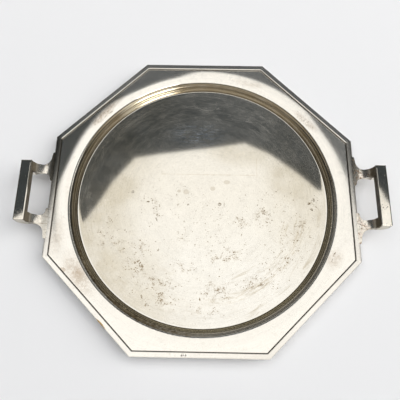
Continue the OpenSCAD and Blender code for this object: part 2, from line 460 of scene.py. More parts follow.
# ---------------------------------------------------------------- materials
class Tree:
    """A short way to write a node tree: every call returns an output socket."""

    def __init__(self, name):
        self.mat = bpy.data.materials.new(name)
        self.mat.use_nodes = True
        self.t = self.mat.node_tree
        self.t.nodes.clear()
        self.out = self.t.nodes.new("ShaderNodeOutputMaterial")
        self.pos = self.t.nodes.new("ShaderNodeTexCoord").outputs["Object"]
        sep = self.t.nodes.new("ShaderNodeSeparateXYZ")
        self.t.links.new(self.pos, sep.inputs[0])
        self.x, self.y, self.z = (self.m("MULTIPLY", sep.outputs[i], 1000.0) for i in range(3))   # mm
        self.r = self.m("SQRT", self.m("ADD", self.m("MULTIPLY", self.x, self.x), self.m("MULTIPLY", self.y, self.y)))
        self.a = self.m("ARCTAN2", self.y, self.x)      # radians, 0 on +X
        # the well runs a little inside its nominal circle, so its radius is measured with that added back
        inside = self.m("MULTIPLY_ADD", self.m("SINE", self.m("ADD", self.a, math.radians(20))), 0.4, 0.6)
        self.w = self.m("MULTIPLY_ADD", inside, self.m("MULTIPLY", self.ramp(self.r, 118.0, 148.0, kind="LINEAR"),
                                                      self.ramp(self.r, 184.0, 170.0, kind="LINEAR")), self.r)
        self.ax = self.m("ABSOLUTE", self.x)
        self.ay = self.m("ABSOLUTE", self.y)
        d = self.m("MULTIPLY", self.m("ADD", self.ax, self.ay), math.sqrt(0.5))
        self.oct = self.m("MAXIMUM", self.m("MAXIMUM", self.ax, self.ay), d)   # distance as the octagon measures it

    def put(self, socket, v):
        if isinstance(v, bpy.types.NodeSocket):
            self.t.links.new(v, socket)
        elif v is not None:
            socket.default_value = v

    def m(self, op, a, b=None, c=None, clamp=False):
        n = self.t.nodes.new("ShaderNodeMath")
        n.operation = op
        n.use_clamp = clamp
        for i, v in enumerate((a, b, c)):
            self.put(n.inputs[i], v)
        return n.outputs[0]

    def vec(self, x, y, z=0.0):
        n = self.t.nodes.new("ShaderNodeCombineXYZ")
        for i, v in enumerate((x, y, z)):
            self.put(n.inputs[i], v)
        return n.outputs[0]

    def ramp(self, v, lo, hi, a=0.0, b=1.0, kind="SMOOTHSTEP"):
        n = self.t.nodes.new("ShaderNodeMapRange")
        n.interpolation_type = kind
        n.clamp = True
        self.put(n.inputs["Value"], v)
        for k, x in (("From Min", lo), ("From Max", hi), ("To Min", a), ("To Max", b)):
            self.put(n.inputs[k], x)
        return n.outputs["Result"]

    def noise(self, vec, scale, detail=2.0, rough=0.5, distort=0.0):
        n = self.t.nodes.new("ShaderNodeTexNoise")
        self.put(n.inputs["Vector"], vec)
        n.inputs["Scale"].default_value = scale
        n.inputs["Detail"].default_value = detail
        n.inputs["Roughness"].default_value = rough
        n.inputs["Distortion"].default_value = distort
        return n.outputs[0]

    def cells(self, vec, scale, feature="F1", rand=1.0):
        n = self.t.nodes.new("ShaderNodeTexVoronoi")
        n.feature = feature
        self.put(n.inputs["Vector"], vec)
        n.inputs["Scale"].default_value = scale
        n.inputs["Randomness"].default_value = rand
        return n

    def mix(self, f, a, b, kind="MIX"):
        n = self.t.nodes.new("ShaderNodeMix")
        n.data_type = "RGBA"
        n.blend_type = kind
        self.put(n.inputs[0], f)
        for i, v in ((6, a), (7, b)):
            self.put(n.inputs[i], (*v, 1.0) if isinstance(v, tuple) else v)
        return n.outputs[2]

    def mul(self, *v):
        s = v[0]
        for x in v[1:]:
            s = self.m("MULTIPLY", s, x)
        return s

    def add(self, *v):
        s = v[0]
        for x in v[1:]:
            s = self.m("ADD", s, x)
        return s

    def inv(self, v):
        return self.m("SUBTRACT", 1.0, v)

    def band(self, v, lo, hi, soft):
        """1 between lo and hi, falling off over soft outside them."""
        return self.mul(self.ramp(v, lo - soft, lo), self.inv(self.ramp(v, hi, hi + soft)))

    def spot(self, x, y, rx, ry, angle=0.0, soft=0.5):
        """1 inside an ellipse at (x, y) mm, falling to 0 at its edge."""
        dx, dy = self.m("SUBTRACT", self.x, x), self.m("SUBTRACT", self.y, y)
        c, s = math.cos(angle), math.sin(angle)
        u = self.m("DIVIDE", self.add(self.m("MULTIPLY", dx, c), self.m("MULTIPLY", dy, s)), rx)
        v = self.m("DIVIDE", self.add(self.m("MULTIPLY", dx, -s), self.m("MULTIPLY", dy, c)), ry)
        d = self.m("SQRT", self.add(self.mul(u, u), self.mul(v, v)))
        return self.ramp(d, 1.0, 1.0 - soft)

    def sector(self, middle, half, soft):
        """1 within half degrees of the middle direction, seen from the well's centre."""
        d = self.m("ABSOLUTE", self.m("WRAP", self.m("SUBTRACT", self.a, math.radians(middle)), math.pi, -math.pi))
        return self.inv(self.ramp(d, math.radians(half), math.radians(half + soft)))

    def arc(self, x, y, radius, width, middle, half, soft=6.0):
        """A thin curved line: part of a circle round (x, y) mm."""
        dx, dy = self.m("SUBTRACT", self.x, x), self.m("SUBTRACT", self.y, y)
        d = self.m("SQRT", self.add(self.mul(dx, dx), self.mul(dy, dy)))
        line = self.inv(self.ramp(self.m("ABSOLUTE", self.m("SUBTRACT", d, radius)), width * 0.3, width))
        a = self.m("WRAP", self.m("SUBTRACT", self.m("ARCTAN2", dy, dx), math.radians(middle)), math.pi, -math.pi)
        return self.mul(line, self.inv(self.ramp(self.m("ABSOLUTE", a), math.radians(half), math.radians(half + soft))))

    def specks(self, vec, scale, keep, small, large, ring=False):
        """Separate specks, one to a cell; keep is the share of cells that hold one."""
        n = self.cells(vec, scale)
        rgb = self.t.nodes.new("ShaderNodeSeparateColor")
        self.t.links.new(n.outputs["Color"], rgb.inputs[0])
        size = self.add(small, self.m("MULTIPLY", rgb.outputs[1], large - small))
        d = self.m("DIVIDE", n.outputs["Distance"], size)
        body = self.inv(self.ramp(d, 0.75, 1.15))
        if ring:
            body = self.mul(body, self.ramp(d, 0.25, 0.7, 0.25, 1.0))
        return self.mul(body, self.ramp(self.m("SUBTRACT", keep, rgb.outputs[0]), 0.0, 0.02))

    def warp(self, scale, amount, seed=0.0):
        """The object position pushed about by noise, so that round shapes come out ragged."""
        n = self.t.nodes.new("ShaderNodeTexNoise")
        n.inputs["Scale"].default_value = scale
        n.inputs["Detail"].default_value = 3.0
        self.put(n.inputs["Vector"], self.pos)
        v = self.t.nodes.new("ShaderNodeVectorMath")
        v.operation = "MULTIPLY_ADD"
        self.t.links.new(n.outputs["Color"], v.inputs[0])
        v.inputs[1].default_value = (amount, amount, 0.0)
        self.t.links.new(self.pos, v.inputs[2])
        return v.outputs[0]

    def scratches(self, angle, length, width, density, seed):
        """Thin straight scratches along one direction; 0 to 1."""
        c, s = math.cos(angle), math.sin(angle)
        u = self.add(self.m("MULTIPLY", self.x, c), self.m("MULTIPLY", self.y, s))
        v = self.add(self.m("MULTIPLY", self.x, -s), self.m("MULTIPLY", self.y, c))
        n = self.noise(self.vec(self.m("DIVIDE", u, length), self.m("DIVIDE", v, width), seed), 1.0, 2.0, 0.6, 0.15)
        return self.ramp(n, 1 - density, 1 - density + 0.06)

    def metal(self, colour, rough, height=None, strength=1.0, distance=0.0002, metallic=1.0):
        p = self.t.nodes.new("ShaderNodeBsdfPrincipled")
        self.put(p.inputs["Metallic"], metallic)
        self.put(p.inputs["Base Color"], (*colour, 1.0) if isinstance(colour, tuple) else colour)
        self.put(p.inputs["Roughness"], rough)
        p.inputs["Specular IOR Level"].default_value = 0.04
        if height is not None:
            b = self.t.nodes.new("ShaderNodeBump")
            b.inputs["Strength"].default_value = strength
            b.inputs["Distance"].default_value = distance
            self.put(b.inputs["Height"], height)
            self.t.links.new(b.outputs[0], p.inputs["Normal"])
        self.t.links.new(p.outputs[0], self.out.inputs[0])
        return self.mat


SILVER = (0.93, 0.885, 0.80)
DULL = (0.80, 0.76, 0.67)
BROWN = (0.30, 0.235, 0.135)
DARK = (0.045, 0.032, 0.018)
BRASS = (0.72, 0.50, 0.22)
COPPER = (0.80, 0.56, 0.40)


def pan_material():
    t = Tree("silver_plate_pan")
    p = t.pos
    cloud = t.noise(p, 9.0, 5.0, 0.6)
    fine = t.noise(p, 160.0, 4.0, 0.6)
    grain = t.noise(p, 700.0, 2.0, 0.6)
    in_floor = t.inv(t.ramp(t.w, FLOOR_R - 1.5, FLOOR_R + 0.3))
    on_flange = t.ramp(t.w, 166.5, 168.0)
    front = t.mul(t.ramp(t.y, 60.0, -5.0), t.inv(t.mul(t.ramp(t.x, -60.0, -110.0), t.ramp(t.y, -40.0, 0.0))))
    # polishing marks run round the well's centre
    swirl = t.noise(t.vec(t.m("DIVIDE", t.r, 2.2), t.m("MULTIPLY", t.a, 5.0), 0.0), 1.0, 4.0, 0.6, 0.5)
    swirl_s = t.ramp(swirl, 0.52, 0.78)
    sc = t.m("MINIMUM", t.add(t.scratches(0.5, 26.0, 0.35, 0.30, 1.0), t.scratches(2.2, 34.0, 0.4, 0.29, 5.0),
                              t.scratches(1.25, 18.0, 0.3, 0.28, 9.0)), 1.0)

    # clean plate: whitest in the middle of the floor and on the flange, dull and warm round the floor's left and far edge
    colour = t.mix(t.ramp(cloud, 0.35, 0.7), (0.99, 0.965, 0.905), (0.955, 0.925, 0.855))
    colour = t.mix(t.mul(in_floor, t.ramp(t.y, -95.0, 20.0)), colour, (0.955, 0.915, 0.825))
    colour = t.mix(t.mul(on_flange, 0.8), colour, (0.99, 0.955, 0.885))
    far = t.ramp(t.add(t.r, t.m("MULTIPLY", t.m("SUBTRACT", cloud, 0.5), 60.0)), 40.0, 140.0)
    left = t.ramp(t.x, 30.0, -115.0, 0.0, 1.0)
    dull = t.add(t.mul(far, left, 1.0), t.mul(t.ramp(t.x, 55.0, 130.0), t.ramp(t.y, -140.0, 0.0), 0.58),
                 t.mul(t.spot(48, 66, 60, 26, math.radians(-8), 0.8), 0.85), t.mul(t.spot(112, 28, 44, 34, math.radians(-30), 0.7), 0.75), t.mul(t.spot(-104, 12, 34, 26, math.radians(45), 0.8), 0.55))
    dull = t.mul(t.m("MINIMUM", dull, 1.0), in_floor, t.ramp(t.noise(p, 22.0, 4.0, 0.65), 0.30, 0.62, 0.55, 1.0))
    colour = t.mix(t.mul(dull, 0.85), colour, (0.70, 0.64, 0.515))
    smear = t.noise(t.vec(t.m("DIVIDE", t.r, 7.0), t.m("MULTIPLY", t.a, 3.2), 7.0), 1.0, 5.0, 0.7, 0.7)
    smears = t.mul(in_floor, t.ramp(t.r, 84.0, 108.0), t.ramp(t.y, 40.0, -20.0), t.ramp(smear, 0.52, 0.72),
                   t.add(0.45, t.mul(t.sector(-38, 30, 14), 0.55)))
    colour = t.mix(t.mul(smears, 0.48), colour, (0.47, 0.39, 0.25))
    worn_arc = t.mul(t.arc(0, 0, 128, 7, -50, 30, 12), t.ramp(t.noise(t.vec(t.m("DIVIDE", t.r, 2.0), t.m("MULTIPLY", t.a, 7.0), 9.0), 1.0, 4.0, 0.7, 0.4), 0.46, 0.62))
    colour = t.mix(t.mul(worn_arc, 0.42), colour, (0.47, 0.37, 0.21))
    colour = t.mix(t.mul(t.ramp(grain, 0.50, 0.70), in_floor, t.ramp(t.r, 70.0, 140.0, 0.25, 1.0), 0.20), colour, (0.45, 0.38, 0.26))
    colour = t.mix(t.mul(t.ramp(fine, 0.55, 0.75), 0.10), colour, BROWN)
    # pinkish worn places and stains on the flange
    stains = t.add(t.mul(t.spot(-133, 113, 27, 7, math.radians(50), 0.8), 0.70), t.mul(t.spot(-140, -106, 30, 16, math.radians(-48), 0.8), 0.48),
                   t.mul(t.spot(-165, -94, 6, 4), 0.6), t.mul(t.spot(-151, -88, 26, 17, math.radians(-60), 0.8), 0.45), t.mul(t.spot(134, 108, 30, 6, math.radians(-48), 0.8), 0.40),
                   t.mul(t.spot(60, 164, 34, 6, math.radians(-14), 0.8), 0.35), t.mul(t.spot(158, -75, 18, 13, math.radians(60), 0.8), 0.50),
                   t.mul(t.spot(-168, 10, 6, 40, 0.0, 0.8), 0.15), t.mul(t.spot(-176, -52, 13, 34, 0.0, 0.8), 0.34))
    stain_n = t.add(t.mul(t.noise(p, 60.0, 4.0, 0.7), 0.5), t.mul(t.noise(p, 330.0, 3.0, 0.7), 0.5))
    colour = t.mix(t.mul(stains, t.ramp(stain_n, 0.38, 0.60, 0.25, 1.0), on_flange), colour, (0.52, 0.41, 0.30))
    worn = t.mul(t.spot(-121, 131, 27, 7.5, math.radians(43), 0.8), t.ramp(t.noise(p, 90.0, 4.0, 0.7), 0.30, 0.62, 0.55, 1.0))
    colour = t.mix(t.mul(worn, 0.60), colour, (0.46, 0.40, 0.33))
    flecks = t.mul(t.m("MAXIMUM", t.spot(-133, 113, 30, 6, math.radians(50), 0.6), t.mul(t.spot(134, 108, 26, 6, math.radians(-48), 0.6), 0.6)),
                   t.ramp(t.noise(t.vec(t.m("DIVIDE", t.r, 0.9), t.m("MULTIPLY", t.a, 70.0), 1.0), 1.0, 3.0, 0.7, 0.3), 0.52, 0.62))
    colour = t.mix(t.mul(flecks, 0.95), colour, (0.24, 0.17, 0.11))

    # tarnish on the well's wall: brown all over; at the back left, where the window's reflection falls, the tarnish is
    # thinner and the colour lighter and yellower, partly polish and partly a painted highlight
    left_wall = t.sector(196, 30, 18)
    top = t.m("SUBTRACT", 166.4, t.m("MULTIPLY", left_wall, 0.8))
    wall = t.mul(t.ramp(t.w, FLOOR_R + 0.25, FLOOR_R + 0.75), t.inv(t.ramp(t.m("SUBTRACT", t.w, top), 0.0, 0.5)))
    wall_n = t.noise(t.vec(t.m("DIVIDE", t.w, 1.6), t.m("MULTIPLY", t.a, 9.0), 4.0), 1.0, 4.0, 0.6)
    polish_and_highlight = t.sector(119, 7, 10)
    front_right = t.sector(-52, 46, 22)
    outer_half = t.ramp(t.w, 161.5, 164.0)
    brown = t.mul(wall, t.ramp(wall_n, 0.25, 0.75, 0.82, 0.98), t.inv(t.m("MULTIPLY", polish_and_highlight, 0.62)),
                  t.inv(t.mul(front_right, outer_half, 0.40)))
    tone = t.mix(t.mul(front_right, t.inv(outer_half)), (0.300, 0.235, 0.140), (0.58, 0.49, 0.30))
    tone = t.mix(t.mul(t.sector(50, 55, 12), outer_half, 0.6), tone, (0.15, 0.115, 0.065))
    flank = t.m("MAXIMUM", t.sector(0, 34, 16), t.sector(188, 34, 16))
    tone = t.mix(t.mul(flank, 0.6), tone, (0.17, 0.135, 0.075))
    tone = t.mix(t.mul(t.sector(-122, 26, 16), 0.6), tone, (0.50, 0.42, 0.26))
    colour = t.mix(brown, colour, tone)
    # partly polish, partly a painted highlight: a lighter, yellower colour where the window is mirrored
    colour = t.mix(t.mul(wall, polish_and_highlight, 0.6), colour, (0.70, 0.60, 0.39))
    groove = t.add(t.mul(t.band(t.m("SUBTRACT", t.w, top), -0.45, 0.1, 0.45), t.inv(t.m("MULTIPLY", front_right, 0.45)), 0.8),
                   t.mul(t.band(t.w, 164.35, 164.65, 0.4), 0.50), t.mul(t.band(t.w, 162.4, 162.6, 0.35), 0.30),
                   t.mul(t.band(t.w, 160.6, 161.1, 0.4), 0.55), t.mul(t.band(t.w, FLOOR_R + 0.85, FLOOR_R + 1.45, 0.35), 0.85))
    colour = t.mix(t.m("MINIMUM", groove, 0.88), colour, (0.07, 0.054, 0.03))

    # heavy patina at the front left of the well, with a ragged edge that spills on to the flange
    sector = t.sector(-128, 27, 16)
    rag = t.noise(p, 260.0, 5.0, 0.75)
    edge = t.add(t.w, t.m("MULTIPLY", t.m("SUBTRACT", rag, 0.5), 6.0))
    patina = t.mul(t.band(edge, 162.4, 166.0, 0.7), sector)
    colour = t.mix(t.mul(patina, t.ramp(rag, 0.40, 0.60, 0.15, 0.85)), colour, (0.075, 0.052, 0.025))
    spill = t.mul(t.sector(-112, 14, 8), t.band(t.w, 165.0, 168.0, 1.6), t.ramp(t.noise(p, 420.0, 3.0, 0.7), 0.47, 0.57))
    colour = t.mix(t.mul(spill, 0.75), colour, (0.24, 0.17, 0.09))

    # pits: ragged specks that gather in clusters and along arcs
    big = t.ramp(t.noise(p, 17.0, 3.0, 0.6, 0.6), 0.43, 0.62)
    clump = t.ramp(t.noise(p, 115.0, 3.0, 0.65, 0.4), 0.45, 0.60)
    arcs = t.ramp(t.noise(t.vec(t.m("DIVIDE", t.r, 13.0), t.m("MULTIPLY", t.a, 2.3), 1.3), 1.0, 3.0, 0.6, 0.4), 0.48, 0.66)
    left_arc = t.mul(t.sector(-136, 26, 12), t.band(t.r, 108.0, 132.0, 12.0))
    right_arc = t.mul(t.sector(-30, 18, 12), t.band(t.r, 110.0, 136.0, 12.0))
    mid_band = t.mul(t.band(t.y, -70.0, 5.0, 30.0), t.inv(t.ramp(t.r, 92.0, 130.0)))
    low_band = t.mul(t.spot(-20, -112, 90, 30, 0.0, 0.5), 1.0)
    clusters = None
    for x, y, rx, ry, ang, k in ((-118, -21, 8, 21, 15, 0.55), (-103, -58, 9, 23, 35, 0.95), (-78, -82, 12, 23, 45, 1.0), (-52, -112, 12, 20, 40, 0.95),
                                 (-76, -62, 17, 15, 0, 0.60), (-57, -14, 8, 20, 10, 0.75), (-70, -3, 12, 9, 0, 0.65), (47, -27, 19, 10, -20, 0.70),
                                 (75, -18, 18, 14, 0, 0.60), (141, -1, 13, 15, 0, 0.75), (109, -47, 24, 9, 35, 0.65), (29, -71, 38, 13, 8, 0.75),
                                 (-22, -86, 20, 12, 0, 0.60), (-42, -127, 24, 11, -15, 0.75), (21, -114, 24, 17, 0, 0.60), (103, -77, 28, 6, 42, 0.70),
                                 (65, -102, 26, 12, 0, 0.65), (0, -138, 30, 9, 0, 0.45), (-21, -47, 16, 13, 0, 0.40), (122, -26, 13, 13, 0, 0.65)):
        q = t.mul(t.spot(x, y, rx, ry, math.radians(ang), 0.85), k)
        clusters = q if clusters is None else t.m("MAXIMUM", clusters, q)
    zone = t.add(0.05, t.mul(clusters, 0.95), t.mul(big, 0.14), t.mul(arcs, 0.10), t.mul(left_arc, 0.14), t.mul(right_arc, 0.08), t.mul(mid_band, 0.07),
                 t.mul(low_band, 0.10))
    dens = t.mul(zone, t.add(0.15, t.m("MULTIPLY", clump, 0.85)), front, in_floor, t.inv(t.ramp(t.r, 143.0, 154.0, 0.0, 0.7)))
    dots = t.specks(t.warp(300.0, 0.0022), 560.0, t.ramp(dens, 0.055, 0.58, 0.0, 0.82, "LINEAR"), 0.22, 0.43)
    n1 = t.noise(t.warp(300.0, 0.0008), 600.0, 2.0, 0.62)
    dots = t.m("MAXIMUM", dots, t.mul(t.ramp(t.add(n1, t.m("MULTIPLY", dens, 0.21)), 0.710, 0.732), 0.9))
    curl = t.noise(p, 420.0, 2.0, 0.6, 0.8)
    gate = t.ramp(t.noise(p, 260.0, 2.0, 0.5), 0.50, 0.56)
    pits = t.m("MAXIMUM", dots, t.mul(t.ramp(t.m("ABSOLUTE", t.m("SUBTRACT", curl, 0.5)), 0.012, 0.005), t.ramp(dens, 0.24, 0.60), gate, 0.8))
    pits = t.mul(pits, in_floor)
    rare = t.specks(t.warp(500.0, 0.0016), 100.0, t.mul(t.ramp(t.noise(p, 12.0, 2.0), 0.42, 0.62, 0.04, 0.24), in_floor, front), 0.045, 0.095, True)
    placed = None
    for x, y, rx, ry, ang in ((22, -5, 3.0, 2.5, 0.3), (-89, 10, 2.2, 1.9, 0.8), (-69, -3, 2.6, 1.4, 0.2), (-57, -26, 3.4, 1.1, 2.0),
                              (66, -98, 2.6, 1.0, 0.7), (72, -104, 3.0, 0.9, -0.6), (62, -109, 2.0, 0.8, 0.5), (77, -97, 1.6, 0.8, 0.2),
                              (141, 3, 1.6, 2.8, 0.2), (135, -2, 2.4, 1.6, 0.6), (138, -10, 1.2, 2.2, 0.4), (-70, -122, 1.4, 3.0, 0.3),
                              (-64, -131, 3.0, 1.6, 0.9), (118, -50, 1.8, 1.4, 0.0), (-121, -58, 1.3, 3.4, 0.35), (-53, -65, 2.0, 1.0, 1.2),
                              (-1, -124, 1.0, 2.4, 0.2), (-38, -83, 1.4, 1.0, 0.4), (-18, -6, 1.7, 1.3, 0.2), (-8, -14, 1.2, 1.0, 0.9)):
        q = t.spot(x, y, rx, ry, ang, 0.35)
        placed = q if placed is None else t.m("MAXIMUM", placed, q)
    blot = t.noise(p, 620.0, 3.0, 0.7)
    placed = t.mul(placed, t.ramp(blot, 0.44, 0.50))
    flange_marks = t.mul(t.m("MAXIMUM", t.m("MAXIMUM", t.spot(159, -69, 1.0, 3.8, -0.6, 0.4), t.spot(156, -76, 0.8, 2.8, -0.5, 0.4)),
                                        t.spot(-123, 118, 3.2, 1.2, 0.7, 0.6)), t.ramp(blot, 0.42, 0.52))
    marks = t.m("MINIMUM", t.add(pits, rare, placed, flange_marks), 1.0)
    halo = t.mul(t.ramp(dens, 0.10, 0.8), in_floor)
    colour = t.mix(t.mul(halo, 0.16), colour, (0.60, 0.51, 0.36))
    colour = t.mix(t.mul(marks, t.ramp(t.noise(p, 150.0, 2.0), 0.35, 0.65, 0.48, 0.92)), colour, (0.235, 0.15, 0.066))
    # faint water spots, and the faint trace of a rectangle that was once masked off
    rings = t.add(t.spot(-21, 11, 4.4, 4.0, 0.0, 0.3), t.spot(-30, 12, 2.8, 2.4, 0.0, 0.3), t.spot(13, 16, 3.8, 3.4, 0.0, 0.3), t.spot(31, 25, 4.8, 3.4, 0.0, 0.3))
    colour = t.mix(t.mul(rings, 0.36), colour, (0.50, 0.42, 0.30))
    trace = t.m("MAXIMUM", t.mul(t.band(t.y, 34.8, 35.2, 0.7), t.band(t.x, -52.0, 69.5, 3.0)), t.mul(t.band(t.x, 69.3, 69.7, 0.7), t.band(t.y, 35.0, 56.0, 6.0)))
    colour = t.mix(t.mul(trace, t.ramp(fine, 0.40, 0.55, 0.4, 1.0), 0.30), colour, (0.60, 0.50, 0.34))

    # a dark line along the quirk beside the border, weaker towards the back left
    quirk = t.ramp(t.oct, AP - BORDER_W - 0.85, AP - BORDER_W - 0.55)
    colour = t.mix(t.mul(quirk, 0.85, t.inv(t.mul(t.ramp(t.m("SUBTRACT", t.y, t.x), 60.0, 160.0), 0.35))), colour, (0.055, 0.042, 0.025))

    rough = t.add(0.042, t.m("MULTIPLY", cloud, 0.02), t.m("MULTIPLY", swirl_s, 0.02), t.m("MULTIPLY", sc, 0.03),
                  t.m("MULTIPLY", marks, 0.3), t.m("MULTIPLY", patina, 0.3), t.m("MULTIPLY", wall, 0.11),
                  t.mul(t.band(t.w, 165.6, 168.4, 1.2), front_right, 0.16), t.mul(t.ramp(t.r, 171.0, 176.0), 0.125))
    height = t.add(t.m("MULTIPLY", t.m("MAXIMUM", rare, placed), -1.0), t.m("MULTIPLY", rag, t.m("MULTIPLY", patina, 0.6)))
    # worn, hazy metal scatters a little light: veils, brush strokes and single scratches, plainest in dark reflections
    veil = t.noise(t.vec(t.m("DIVIDE", t.r, 15.0), t.m("MULTIPLY", t.a, 2.4), 2.0), 1.0, 6.0, 0.70, 0.7)
    veil2 = t.noise(t.vec(t.m("DIVIDE", t.r, 3.0), t.m("MULTIPLY", t.a, 2.0), 6.0), 1.0, 4.0, 0.65, 0.8)
    brush = t.noise(t.vec(t.m("DIVIDE", t.x, 13.0), t.m("DIVIDE", t.y, 1.7), 5.0), 1.0, 4.0, 0.66, 0.9)
    brushed = t.mul(t.spot(-8, 92, 56, 26, 0.0, 0.8), t.ramp(brush, 0.46, 0.62))
    lines = t.add(t.mul(t.arc(6, 160, 31.5, 0.6, -92, 34), 1.0), t.mul(t.arc(70, 240, 128, 0.5, -92, 9), 0.6),
                  t.mul(t.arc(-30, 150, 42, 0.5, -110, 20), 0.5), t.mul(t.arc(40, 60, 60, 0.4, 55, 16), 0.5),
                  t.mul(t.arc(-60, 40, 70, 0.4, 80, 12), 0.45), t.mul(t.arc(20, -40, 118, 0.5, 100, 10), 0.5))
    mottle = t.noise(p, 62.0, 5.0, 0.74, 0.5)
    streaks = t.noise(t.vec(t.m("DIVIDE", t.r, 1.1), t.m("MULTIPLY", t.a, 3.5), 3.0), 1.0, 3.0, 0.6, 0.4)
    left_corner = t.mul(on_flange, t.sector(160, 22, 16))
    sc2 = t.m("MINIMUM", t.add(t.scratches(0.3, 20.0, 0.9, 0.31, 11.0), t.scratches(2.6, 24.0, 1.0, 0.31, 13.0), t.scratches(1.7, 14.0, 0.9, 0.30, 17.0)), 1.0)
    amount = t.add(t.ramp(veil, 0.32, 0.68, 0.004, 0.085), t.ramp(mottle, 0.38, 0.64, 0.004, 0.058),
                   t.ramp(streaks, 0.50, 0.66, 0.0, 0.028), t.ramp(veil2, 0.46, 0.66, 0.0, 0.048), t.m("MULTIPLY", brushed, 0.13),
                   t.m("MULTIPLY", lines, 0.13), t.m("MULTIPLY", sc, 0.018), t.m("MULTIPLY", sc2, 0.026), t.ramp(t.noise(p, 230.0, 3.0, 0.65), 0.42, 0.66, 0.0, 0.044), t.mul(wall, front_right, 0.17), t.mul(on_flange, t.sector(60, 62, 30), 0.035),
                   t.mul(t.band(t.w, 146.0, 157.0, 12.0), 0.022), t.mul(t.ramp(t.x, -20.0, 110.0), t.ramp(t.y, 0.0, 60.0), 0.042), t.mul(in_floor, t.ramp(t.x, -90.0, -146.0), t.ramp(t.y, 50.0, 0.0), 0.055),
                   t.mul(in_floor, t.ramp(t.x, -20.0, -110.0), 0.012))
    amount = t.mul(amount, t.inv(t.mul(left_corner, 0.60)), t.inv(t.mul(on_flange, 0.30)))
    # the brush strokes are real wear; their blue-white tint is a painted sheen
    colour = t.mix(t.mul(brushed, 0.65), colour, (0.74, 0.85, 0.98))
    colour = t.mix(t.mul(left_corner, t.ramp(t.r, 176.0, 183.0), 0.55), colour, (0.50, 0.48, 0.42))
    return t.metal(colour, rough, height, 0.35, 0.0001, t.m("SUBTRACT", 1.0, amount))


def border_material():
    t = Tree("silver_plate_border")
    p = t.pos
    cloud = t.noise(p, 14.0, 4.0, 0.6)
    fine = t.noise(p, 240.0, 4.0, 0.65)
    colour = t.mix(t.ramp(cloud, 0.35, 0.7), (0.97, 0.94, 0.88), (0.90, 0.865, 0.80))
    colour = t.mix(t.mul(t.ramp(fine, 0.55, 0.75), 0.2), colour, BROWN)
    base = t.mul(t.ramp(t.oct, AP - BORDER_W + 0.25, AP - BORDER_W + 0.02), t.ramp(t.z, RIM - 0.9, RIM - 1.4))
    colour = t.mix(t.mul(base, 0.9), colour, DARK)
    # grime along the outer edge, made much darker towards the back as a painted dark reflection, and brass showing
    # where the plate has worn through
    outer = t.mul(t.ramp(t.oct, AP - 1.7, AP - 0.4), t.ramp(t.noise(p, 90.0, 3.0), 0.3, 0.6, 0.45, 1.0))
    colour = t.mix(t.mul(outer, t.ramp(t.y, -90.0, 60.0, 0.16, 0.62)), colour, (0.10, 0.085, 0.07))
    worn = t.mul(t.spot(-114, -156, 11.0, 3.2, math.radians(-45), 0.35), t.ramp(t.oct, AP - 2.8, AP - 1.9), t.ramp(t.noise(p, 300.0, 3.0, 0.6), 0.30, 0.44))
    colour = t.mix(t.mul(worn, 0.95), colour, (0.42, 0.25, 0.07))
    nick = t.mul(t.spot(-18, -187, 4.2, 2.2, 0.0, 0.4), t.ramp(t.noise(p, 600.0, 3.0, 0.7), 0.46, 0.54))
    colour = t.mix(t.mul(nick, 0.85), colour, DARK)
    sc = t.m("MINIMUM", t.add(t.scratches(0.2, 14.0, 0.3, 0.30, 2.0), t.scratches(1.6, 12.0, 0.3, 0.30, 4.0)), 1.0)
    # painted shade on the left and right sides of the border beside the handles, darkest at the back and on the left
    beside = t.mul(t.ramp(t.ax, AP - 7.5, AP - 6.0), t.ramp(t.ay, 84.0, 74.0))
    shade = t.mul(beside, t.ramp(t.y, -50.0, 55.0), t.ramp(t.x, -20.0, 20.0, 0.92, 0.62))
    colour = t.mix(shade, colour, (0.13, 0.125, 0.105))
    rough = t.add(0.055, t.m("MULTIPLY", cloud, 0.05), t.m("MULTIPLY", sc, 0.08), t.m("MULTIPLY", beside, 0.16), t.m("MULTIPLY", base, 0.3), t.m("MULTIPLY", outer, 0.12))
    height = t.add(t.m("MULTIPLY", sc, -0.3), t.m("MULTIPLY", fine, 0.2), t.m("MULTIPLY", nick, -1.5))
    back = t.ramp(t.add(t.y, t.m("MULTIPLY", t.x, 0.5)), -60.0, 120.0)
    amount = t.add(0.04, t.m("MULTIPLY", back, 0.085), t.mul(t.ramp(t.y, 60.0, 130.0), t.ramp(t.x, -60.0, -120.0), 0.06),
                   t.ramp(cloud, 0.4, 0.7, 0.0, 0.04))
    return t.metal(colour, rough, height, 0.12, 0.0001, t.m("SUBTRACT", 1.0, amount))


